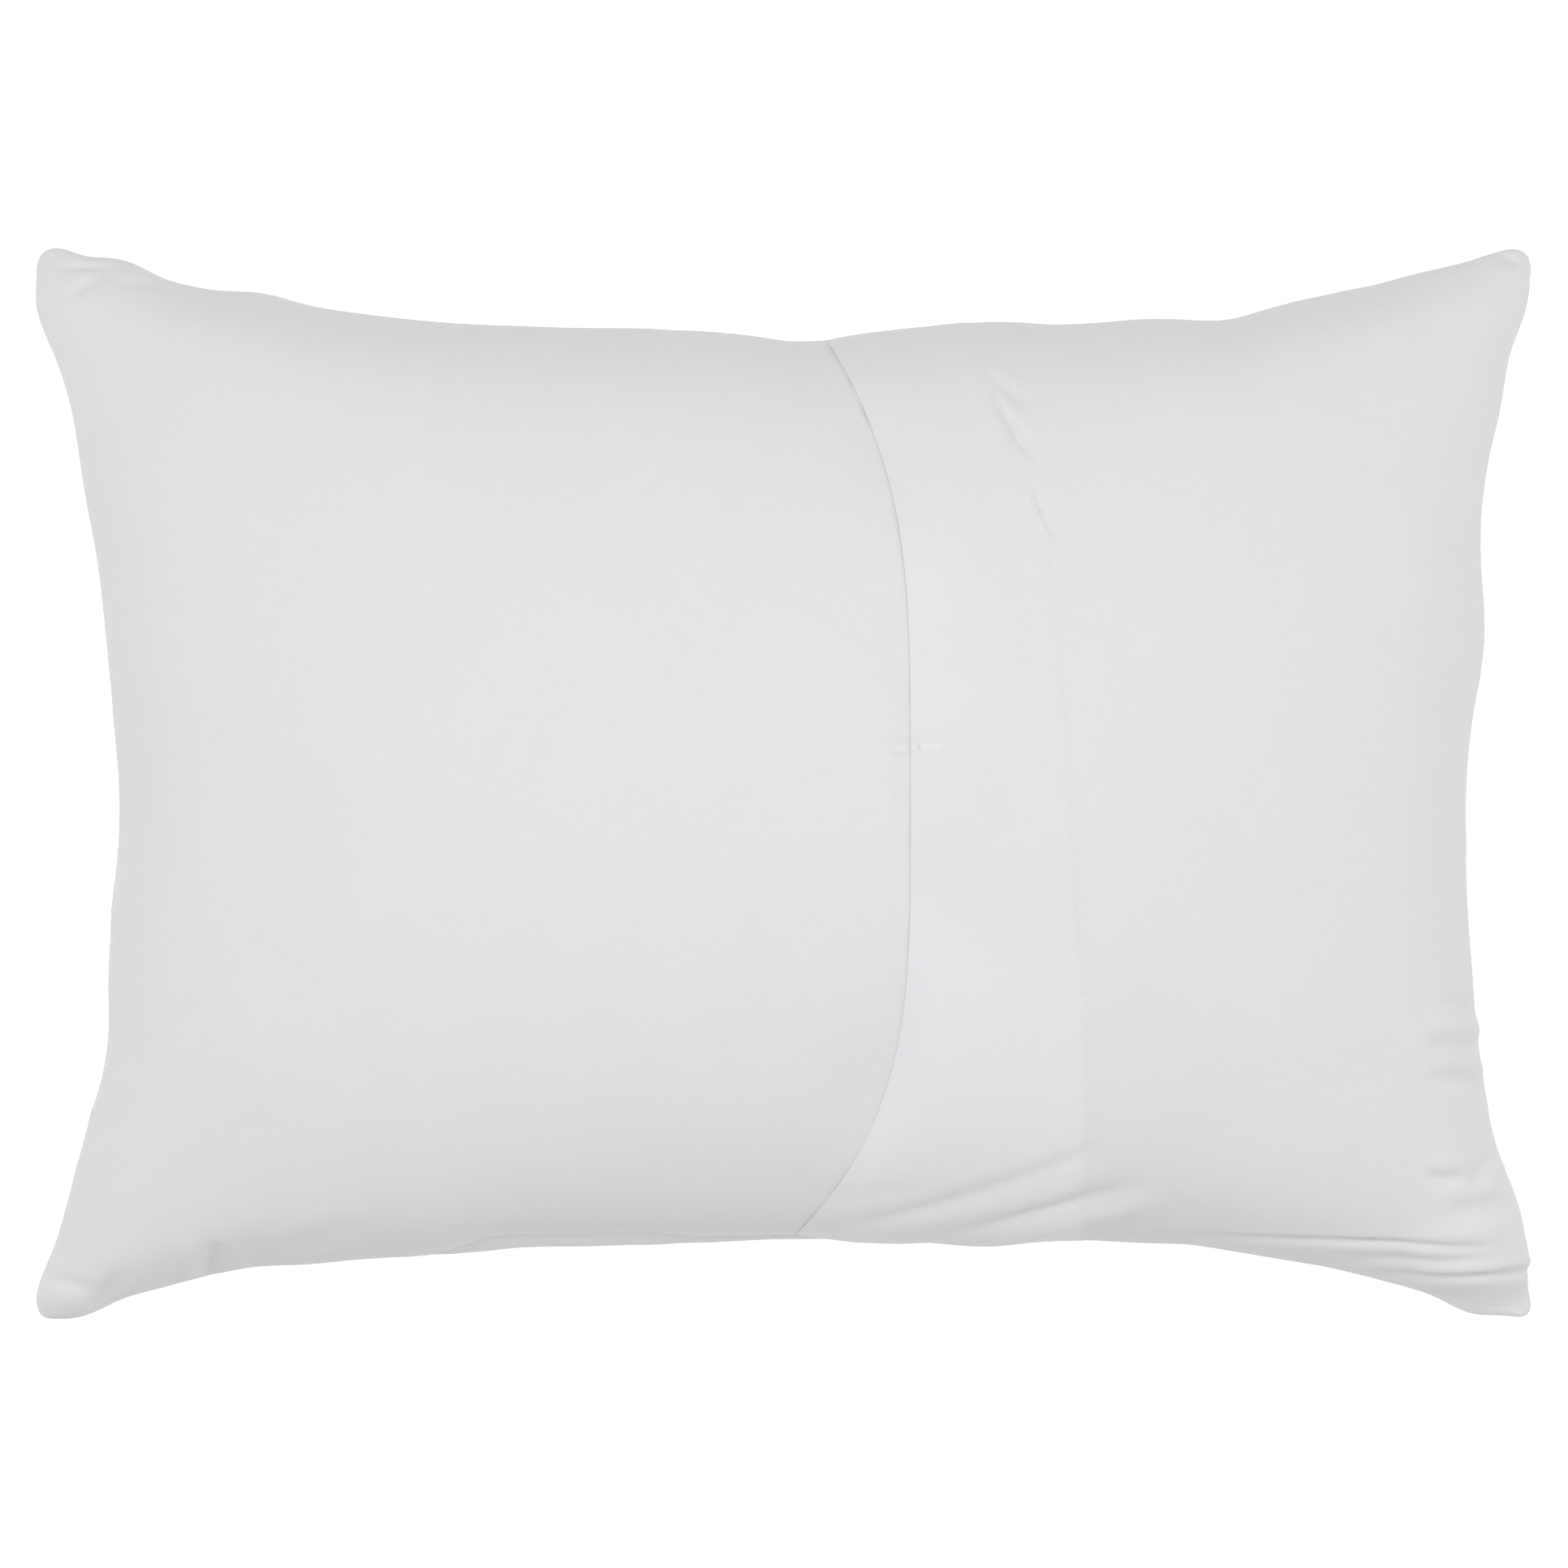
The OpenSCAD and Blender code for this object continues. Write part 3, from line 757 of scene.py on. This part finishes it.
def flap_piece():
    turn = np.linspace(-math.pi / 2, math.pi / 2, 9)
    e = np.concatenate((
        [4 * MM, 2.4 * MM, 1.2 * MM], ROLL - ROLL * np.cos(turn), graded(ROLL, 16 * MM, 1.1 * MM)[1:],
        graded(16 * MM, 62 * MM, 2.4 * MM)[1:], graded(62 * MM, 78 * MM, 0.9 * MM)[1:],
    ))
    right = graded(0, 1, 1 / 84, (), ((0.008, 0.0021), (0.06, 0.0052)))[1:]
    first, last = 16 * MM, HEM - 12 * MM
    share = (e - first) / (last - first)
    e = np.where(e[:, None] <= first, e[:, None],
                 np.where(e[:, None] < last, first + share[:, None] * (HEM_WIDTH - 12 * MM - first),
                          e[:, None] - HEM + HEM_WIDTH))
    start = EDGE + e[-1]
    s_far = start[None] + (S_END - start)[None] * right[:, None]
    s = np.concatenate((EDGE + e, s_far))
    t = np.broadcast_to(ROWS[None], s.shape)
    drop = np.zeros(len(s))
    drop[:12] = np.concatenate((np.full(3, -2 * ROLL), ROLL * (np.sin(turn) - 1)))
    closing = 0.3 + 0.7 * smooth_step(border_distance(s, t), 0, 30 * MM)
    e = s - EDGE[None]
    y = seen(TOP.at(s, t))[..., 1]
    offset = flap_lift(e, y) + spread(hem_relief(e, HEM_WIDTH), s, t) + drop[:, None] * closing
    # the hem's whiter doubled cloth, with painted highlight in bands beside the edge
    mask = hem_white_and_highlight(e, HEM_WIDTH, y)
    return closed_sheet("flap_panel", laid_on(TOP, s, t, offset), CLOTH, np.dstack((s, t)), mask=mask)


def hem_piece():
    """The ply turned back under the flap, with its own raw edge turned under again."""
    r = 0.265 * MM
    turn = np.linspace(math.pi / 2, -math.pi / 2, 7)[1:]
    rows = graded(-T_END, T_END, 4 * MM, ((4 * MM, 1 * MM),), ((4 * MM, 1 * MM),))
    width = np.interp(rows, ROWS, HEM_WIDTH)[None]
    ends = np.concatenate((np.linspace(-TURN_UNDER, -r, 7), -r + r * np.cos(turn)))[:, None]
    share = np.linspace(0, 1, 32)[1:, None]
    e = np.concatenate((width + ends, (width - r) * (1 - share) + 3.6 * MM * share))
    n = np.concatenate((np.zeros(7), r * (np.sin(turn) - 1), np.full(31, -2 * r))) + 0.18 * MM
    s = np.interp(rows, ROWS, EDGE)[None] + e
    t = np.broadcast_to(rows[None], s.shape)
    y = seen(TOP.at(s, t))[..., 1]
    offset = spread(np.broadcast_to(n[:, None], s.shape), s, t) + flap_lift(e, y)
    return closed_sheet("cover_flap_hem", laid_on(TOP, s, t, offset), HEM_PLY, np.dstack((s, t)))


def narrow_hem_piece():
    rows = graded(-T_END, T_END, 6 * MM)
    s, t = beside_edge(np.linspace(OVERLAP - NARROW_HEM, OVERLAP - 3 * MM, 8), rows)
    offset = spread(np.full_like(s, -UNDER - CLOTH - 0.25 * MM), s, t)
    return closed_sheet("cover_back_hem", laid_on(TOP, s, t, offset), HEM_PLY, np.dstack((s, t)))


def stitch_row(name, from_edge, offset, pitch=3.3 * MM, length=2.5 * MM, radius=0.17 * MM):
    """A row of lockstitches at distances from the flap's edge, each a short dipping thread."""
    middles = np.arange(-T_END + 6 * MM, T_END - 6 * MM, pitch)
    share = np.linspace(-1, 1, 7)
    t = middles[:, None] + share[None] * length / 2
    e = np.interp(t, ROWS, from_edge)
    s = np.interp(t, ROWS, EDGE) + e + 0.12 * MM * smooth_noise(t / pitch, t * 0, SEEDS["stitches"])
    arch = radius * (0.55 - 1.5 * share[None] ** 4)
    lift = spread(np.full_like(s, offset), s, t) + arch + flap_lift(e, t)
    return tubes(name, laid_on(TOP, s, t, lift), TOP.normal(s, t), radius, taper=0.55)


# ============================================ the seams
def border_line(side, step):
    """Flat places along one side, and the border's points and inward directions there."""
    long_side = side in ("top", "bottom")
    reach = (CUT[0] if long_side else CUT[1]) / 2 - CORNER_ROUND * 0.6
    run = graded(-reach, reach, step)
    sign = 1 if side in ("top", "right") else -1
    fixed = np.full_like(run, sign * (CUT[1] if long_side else CUT[0]) / 2)
    points = TOP.at(run, fixed) if long_side else TOP.at(fixed, run)
    tangent = unit(np.gradient(points * (1, 1, 0), axis=0))
    inward = np.cross(UP, tangent)
    facing = (inward * points).sum(-1)
    return run, points, inward * np.where(facing > 0, -1, 1)[:, None]


def allowance_wave(run):
    return smooth_noise(run / 0.012, np.zeros_like(run), SEEDS["allowance"]) * 0.8 * MM


def seam_piece(side):
    """The raw edges of both panels, folded inside along one side."""
    run, points, inward = border_line(side, 3 * MM)
    d = np.concatenate(([0.8 * MM], np.linspace(2 * MM, ALLOWANCE, 5)))
    grid = points[None] + inward[None] * d[:, None, None]
    grid[..., 2] += allowance_wave(run)[None] * (d / ALLOWANCE)[:, None] ** 2 + CLOTH
    flat = np.dstack(np.broadcast_arrays(d[:, None], run[None]))
    up = 1 if np.cross(inward[0], points[1] - points[0])[2] > 0 else -1
    return closed_sheet("seam_allowance_" + side, grid, 2 * CLOTH, flat, up=up, mask=np.zeros(grid.shape[:2]))


def overlock_piece(side):
    """The thread that binds one seam's raw edges, as a zigzag over them."""
    run, points, inward = border_line(side, 1.0 * MM)
    phase = run / (4 * MM) * 2 * math.pi
    depth = ALLOWANCE - 2.2 * MM + 2.3 * MM * np.sin(phase)
    path = points + inward * depth[:, None]
    path[:, 2] += allowance_wave(run) + (CLOTH + 0.2 * MM) * np.cos(phase) + 0.1 * MM
    return tubes("overlock_" + side, [path], [UP], 0.16 * MM, sides=5)


# ============================================ the insert
def insert_grid(grid, shrink=1.0):
    """One side of the insert: the cover's settled side, drawn in towards the middle."""
    share = (0.955, 0.930, 0.97 if grid is bottom_grid else 0.95)
    centre = (0, 0, SEAM_Z)
    return centre + (grid - centre) * share * shrink


def ticking_piece(name, grid, up):
    skin = Skin(insert_grid(grid), up)
    s, t = pattern_grid(9 * MM, ((3 * MM, 1 * MM),))
    return closed_sheet(name, skin.at(s, t), TICKING, np.dstack((s, t)), up=up,
                        mask=np.zeros_like(s))


def fill_piece():
    step = 2
    top = insert_grid(top_grid, 0.985)[::step, ::step]
    bottom = insert_grid(bottom_grid, 0.985)[::step, ::step]
    x, y = top[1:-1, 1:-1, 0] / 0.018 + 40, top[1:-1, 1:-1, 1] / 0.018 + 40
    lumps = smooth_noise(x, y, SEEDS["filling"])
    top[1:-1, 1:-1, 2] -= (0.6 + 0.5 * lumps) * MM
    bottom[1:-1, 1:-1, 2] += (0.6 + 0.5 * lumps) * MM
    return closed_body("fibre_filling", top, bottom)


def insert_border(count):
    """Points round the insert's seam, and inward directions."""
    grid = insert_grid(top_grid)
    loop = np.concatenate((grid[:-1, 0], grid[-1, :-1], grid[:0:-1, -1], grid[0, :0:-1], grid[:1, 0]))
    loop = along_curve(loop, np.linspace(0, 1, count + 1))
    return loop, unit(np.cross(UP, np.gradient(loop, axis=0)))


def insert_seam_piece():
    loop, inward = insert_border(420)
    d = np.linspace(0.8 * MM, 8 * MM, 4)
    grid = loop[None] + inward[None] * d[:, None, None] + (0, 0, TICKING)
    flat = np.dstack(np.broadcast_arrays(d[:, None], np.linspace(0, 2.3, len(loop))[None]))
    return closed_sheet("insert_seam", grid, 2 * TICKING, flat, up=-1, mask=np.zeros(grid.shape[:2]))


def closing_piece():
    """Whip stitches over the insert's seam, where it was closed after filling."""
    low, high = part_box("insert_closing_stitching")
    loop, inward = insert_border(2400)
    margin = 9 * MM
    near = (loop[:, 0] > low.x - margin) & (loop[:, 0] < high.x + margin)
    near &= (loop[:, 1] > low.y - margin) & (loop[:, 1] < high.y + margin)
    turn = np.linspace(-0.62 * math.pi, 0.62 * math.pi, 9)[:, None]
    paths, ups = [], []
    for place, inside in zip(loop[near][::3], inward[near][::3]):
        along = np.cross(inside, (0, 0, 1))
        wrap = -inside * np.cos(turn) * 0.9 * MM + np.array((0, 0, 1.1 * MM)) * np.sin(turn)
        paths.append(place + wrap + along * turn * 0.25 * MM)
        ups.append(along)
    return tubes("closing_stitches", paths, ups, 0.17 * MM, sides=5)


def label_piece(name, node, skin, offset):
    """A blank satin ribbon with one end in the left seam, lying on a skin."""
    low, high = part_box(node)
    length = math.hypot(high.x - low.x, high.z - low.z)
    places = np.linspace(-T_END, T_END, 201)
    across = skin.at(np.full_like(places, length / 2 - S_END), places)[:, 1]
    ends = np.interp((low.y, high.y), across, places)
    s, t = np.meshgrid(np.linspace(1 * MM, length, 19) - S_END, np.linspace(*ends, 15),
                       indexing="ij")
    wave = 0.25 * MM * np.sin(s / (6 * MM)) * np.cos(t / (8 * MM))
    grid = skin.at(s, t) + skin.normal(s, t) * (offset + wave)[..., None]
    return closed_sheet(name, grid, 0.3 * MM, np.dstack((s, t)))


# ============================================ materials
def maths(tree, operation, a, b=None):
    made = tree.nodes.new("ShaderNodeMath")
    made.operation = operation
    for socket, value in zip(made.inputs, (a, b)):
        if isinstance(value, (int, float)):
            socket.default_value = value
        elif value is not None:
            tree.links.new(value, socket)
    return made.outputs[0]


def noise(tree, vector, scale, detail=2.0, rough=0.5):
    """Noise with so many lumps a metre along each axis."""
    stretch = tree.nodes.new("ShaderNodeMapping")
    stretch.inputs["Scale"].default_value = scale
    tree.links.new(vector, stretch.inputs["Vector"])
    made = tree.nodes.new("ShaderNodeTexNoise")
    made.inputs["Scale"].default_value = 1.0
    made.inputs["Detail"].default_value = detail
    made.inputs["Roughness"].default_value = rough
    tree.links.new(stretch.outputs["Vector"], made.inputs["Vector"])
    return made.outputs["Fac"]


def mixed(tree, factor, a, b, blend="MIX"):
    made = tree.nodes.new("ShaderNodeMix")
    made.data_type, made.blend_type = "RGBA", blend
    for socket, value in ((made.inputs[0], factor), (made.inputs[6], a), (made.inputs[7], b)):
        if isinstance(value, (int, float)):
            socket.default_value = value
        elif isinstance(value, tuple):
            socket.default_value = (*value, 1.0)
        else:
            tree.links.new(value, socket)
    return made.outputs[2]


def shader_of(name, rough, sheen):
    material = bpy.data.materials.new(name)
    material.use_nodes = True
    tree = material.node_tree
    shader = tree.nodes["Principled BSDF"]
    shader.inputs["Roughness"].default_value = rough
    shader.inputs["Sheen Weight"].default_value = sheen
    shader.inputs["Sheen Roughness"].default_value = 0.5
    shader.inputs["Specular IOR Level"].default_value = 0.2
    return material, tree, shader


def relief_into(tree, shader, height, strength, distance):
    made = tree.nodes.new("ShaderNodeBump")
    made.inputs["Strength"].default_value = strength
    made.inputs["Distance"].default_value = distance
    tree.links.new(height, made.inputs["Height"])
    tree.links.new(made.outputs[0], shader.inputs["Normal"])


def woven(name, colour, pitch, relief, hem_and_highlight_colour=None):
    """Plain-weave cloth: crossing threads, slubs, a little crumple and uneven tone."""
    material, tree, shader = shader_of(name, 0.88, 0.12)
    uv = tree.nodes.new("ShaderNodeUVMap")
    uv.uv_map = "cloth"
    flat = uv.outputs["UV"]
    split = tree.nodes.new("ShaderNodeSeparateXYZ")
    tree.links.new(flat, split.inputs[0])
    turns = math.pi / pitch
    warp = maths(tree, "SINE", maths(tree, "MULTIPLY", split.outputs["X"], turns))
    weft = maths(tree, "SINE", maths(tree, "MULTIPLY", split.outputs["Y"], turns))
    weave = maths(tree, "MULTIPLY", warp, weft)
    along = noise(tree, flat, (90, 1400, 1), 3.0, 0.6)
    across = noise(tree, flat, (1400, 110, 1), 3.0, 0.6)
    threads = maths(tree, "ADD", along, across)
    cloud = noise(tree, flat, (26, 26, 1), 4.0, 0.6)
    crumple = noise(tree, flat, (130, 130, 1), 3.0, 0.55)
    tone = mixed(tree, cloud, tuple(c * 0.97 for c in colour), colour)
    # the hem attribute mixes in the lighter hem colour: the hem's whiter doubled cloth, and painted highlight
    # beside the flap's edge and on the face's strip
    if hem_and_highlight_colour is not None:
        hem = tree.nodes.new("ShaderNodeAttribute")
        hem.attribute_name = "hem"
        tone = mixed(tree, hem.outputs["Fac"], tone, hem_and_highlight_colour)
    shade = maths(tree, "ADD", maths(tree, "MULTIPLY", threads, 0.05), 0.95)
    grey = tree.nodes.new("ShaderNodeCombineColor")
    for socket in grey.inputs:
        tree.links.new(shade, socket)
    tone = mixed(tree, 1.0, tone, grey.outputs[0], "MULTIPLY")
    tree.links.new(tone, shader.inputs["Base Color"])
    fine = maths(tree, "ADD", maths(tree, "MULTIPLY", weave, 0.15), maths(tree, "MULTIPLY", threads, 0.6))
    height = maths(tree, "ADD", fine, maths(tree, "MULTIPLY", crumple, 2.2))
    relief_into(tree, shader, height, 0.7, relief)
    rough = maths(tree, "ADD", maths(tree, "MULTIPLY", threads, 0.06), 0.82)
    tree.links.new(rough, shader.inputs["Roughness"])
    return material


def stranded(name, colour, pitch, rough, sheen):
    """Thread, satin or fibre: fine strands placed in space."""
    material, tree, shader = shader_of(name, rough, sheen)
    where = tree.nodes.new("ShaderNodeTexCoord").outputs["Object"]
    strand = noise(tree, where, (1 / pitch, 1 / pitch, 2 / pitch), 4.0, 0.65)
    tone = mixed(tree, strand, tuple(c * 0.93 for c in colour), colour)
    tree.links.new(tone, shader.inputs["Base Color"])
    relief_into(tree, shader, strand, 0.6, pitch * 0.2)
    return material


# the hem's cloth is a little whiter and more lavender; the same colour is also painted on as highlight beside
# the flap's edge and on the face's strip
COTTON, HEM_AND_HIGHLIGHT_COTTON = (0.804, 0.795, 0.796), (0.816, 0.806, 0.832)
MATERIALS = {
    "cover_cotton": woven("cover_cotton", COTTON, 0.36 * MM, 0.03 * MM, HEM_AND_HIGHLIGHT_COTTON),
    "hem_cotton": woven("hem_cotton", HEM_AND_HIGHLIGHT_COTTON, 0.36 * MM, 0.03 * MM),
    "thread": stranded("thread", (0.84, 0.83, 0.825), 0.25 * MM, 0.6, 0.2),
    "ticking": woven("ticking", (0.86, 0.86, 0.85), 0.30 * MM, 0.02 * MM),
    "label_satin": stranded("label_satin", (0.90, 0.90, 0.89), 0.3 * MM, 0.35, 0.1),
    "fibre": stranded("fibre", (0.93, 0.93, 0.93), 1.2 * MM, 0.95, 0.5),
}


# ============================================ putting it together
def add(piece, slot, *nodes):
    piece.data.materials.append(MATERIALS[slot])
    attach(piece, "root")
    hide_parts(*nodes)
    return piece


face = add(face_piece(), "cover_cotton", "cover_front_panel")
back = add(back_piece(), "cover_cotton", "cover_back_panel")
flap = add(flap_piece(), "cover_cotton", "cover_flap")
hem = add(hem_piece(), "hem_cotton", "flap_hem")
narrow = add(narrow_hem_piece(), "cover_cotton", "back_panel_hem")
hem_row = add(stitch_row("flap_hem_stitches", HEM_WIDTH - 1 * MM, 0.12 * MM), "thread",
              "flap_hem_stitching")
BACK_ROW = np.full_like(ROWS, OVERLAP - NARROW_HEM + 1.5 * MM)
narrow_row = add(stitch_row("back_hem_stitches", BACK_ROW, -UNDER), "thread",
                 "back_panel_hem_stitching")
for side in ("top", "bottom", "left", "right"):
    add(seam_piece(side), "cover_cotton", "cover_seam_" + side)
    add(overlock_piece(side), "thread", "seam_thread_" + side)
cover_label = add(label_piece("cover_label", "cover_care_label", TOP, -1.1 * MM), "label_satin",
                  "cover_care_label")
insert_top = add(ticking_piece("insert_top", top_grid, 1), "ticking", "insert_top_ticking")
insert_bottom = add(ticking_piece("insert_bottom", bottom_grid, -1), "ticking",
                    "insert_bottom_ticking")
insert_seam = add(insert_seam_piece(), "ticking", "insert_edge_seam")
closing = add(closing_piece(), "thread", "insert_closing_stitching")
insert_label = add(label_piece("insert_label", "insert_care_label",
                               Skin(insert_grid(top_grid), 1), 0.7 * MM), "label_satin",
                   "insert_care_label")
filling = add(fill_piece(), "fibre", "fibre_fill")


# ============================================ stage, light and camera
FLOOR_GLOW, WORLD_LIGHT = 0.39, 0.193
SOFTBOXES = (  # name, place, size and watts
    ("left_softbox", (-1.7, 0.2, 1.3), (1.2, 1.8), 9.4),
    ("right_softbox", (1.7, 0.2, 1.3), (1.2, 1.8), 9.3),
    ("upper_softbox", (0, 1.6, 1.2), (2.0, 1.2), 0.4),
    ("lower_softbox", (0, -1.6, 1.2), (2.0, 1.2), 0.6),
    ("overhead_softbox", (0, 0.1, 2.6), (2.2, 2.2), 43),
)
AIM = Vector((0, 0, 0.1))  # where every softbox points


def stage_floor():
    half, depth = 6.0, -0.4 * MM
    corners = [(-half, -half, depth), (half, -half, depth), (half, half, depth), (-half, half, depth)]
    floor = new_piece("studio_floor", corners, [(0, 1, 2, 3)])
    material, _, shader = shader_of("studio_floor", 0.9, 0.0)
    shader.inputs["Base Color"].default_value = (0.95, 0.95, 0.95, 1)
    shader.inputs["Emission Color"].default_value = (1, 1, 1, 1)
    shader.inputs["Emission Strength"].default_value = FLOOR_GLOW
    floor.data.materials.append(material)


def softbox(name, place, size, watts):
    data = bpy.data.lights.new(name, "AREA")
    data.shape = "RECTANGLE"
    data.size, data.size_y = size
    data.energy = watts
    light = bpy.data.objects.new(name, data)
    light.location = place
    light.rotation_euler = (AIM - Vector(place)).to_track_quat("-Z", "Y").to_euler()
    bpy.context.scene.collection.objects.link(light)


stage_floor()
for row in SOFTBOXES:
    softbox(*row)
world = bpy.data.worlds.new("studio")
world.use_nodes = True
background = world.node_tree.nodes["Background"].inputs
background["Color"].default_value = (1, 1, 1, 1)
background["Strength"].default_value = WORLD_LIGHT
bpy.context.scene.world = world

lens = bpy.data.cameras.new("camera")
lens.lens, lens.sensor_width = LENS, SENSOR
camera = bpy.data.objects.new("camera", lens)
camera.location = (0, 0, SEAM_Z + CAMERA_RISE)
bpy.context.scene.collection.objects.link(camera)
bpy.context.scene.camera = camera
bpy.context.scene.view_settings.view_transform = "Standard"
